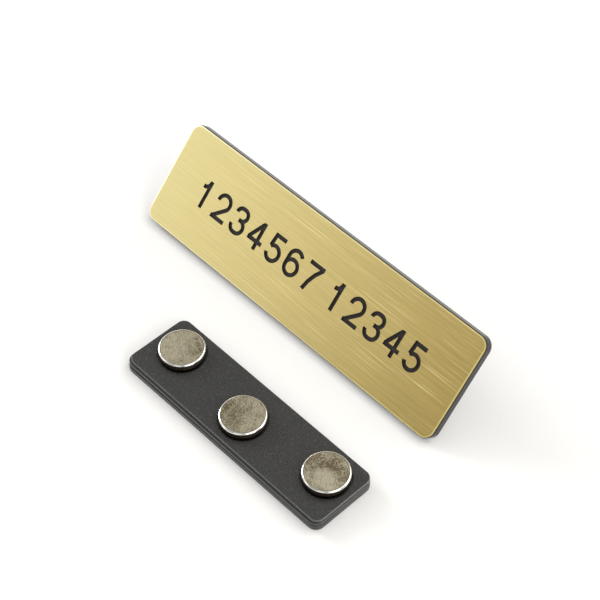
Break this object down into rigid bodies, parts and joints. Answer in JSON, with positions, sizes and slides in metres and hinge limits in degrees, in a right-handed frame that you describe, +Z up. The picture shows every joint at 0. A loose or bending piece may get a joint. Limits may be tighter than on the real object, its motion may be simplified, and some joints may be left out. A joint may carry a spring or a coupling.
{
  "type": "magnetic name badge with its bar and plain prop",
  "caption": "Long gold plate on a black core, leaning back on a hidden prop, with its loose black bar of round magnets that grips it through cloth.",
  "frame": {"origin": "centre of the ground under the whole laid-out badge", "axes": "+X along the plate and the bar, in reading direction; +Y to the back, the way the plate leans; +Z up"},
  "size_m": [0.07, 0.0392, 0.0157],
  "materials": {
    "gold": "satin brushed gold, brushed along the plate",
    "core": "black laminate core, satin cut edge",
    "strip_steel": "plain zinc-plated steel",
    "prop": "plain pale plastic",
    "bar": "fine-grained charcoal moulding",
    "magnet": "worn nickel plating, mottled and finely scratched"
  },
  "bodies": {
    "root": {"gold_face": "gold", "core_plate": "core", "steel_strip": "strip_steel", "prop_wedge": "prop", "bar_cover": "bar", "bar_body": "bar", "bar_foot": "bar", "magnet_left": "magnet", "magnet_middle": "magnet", "magnet_right": "magnet"}
  },
  "joints": []
}
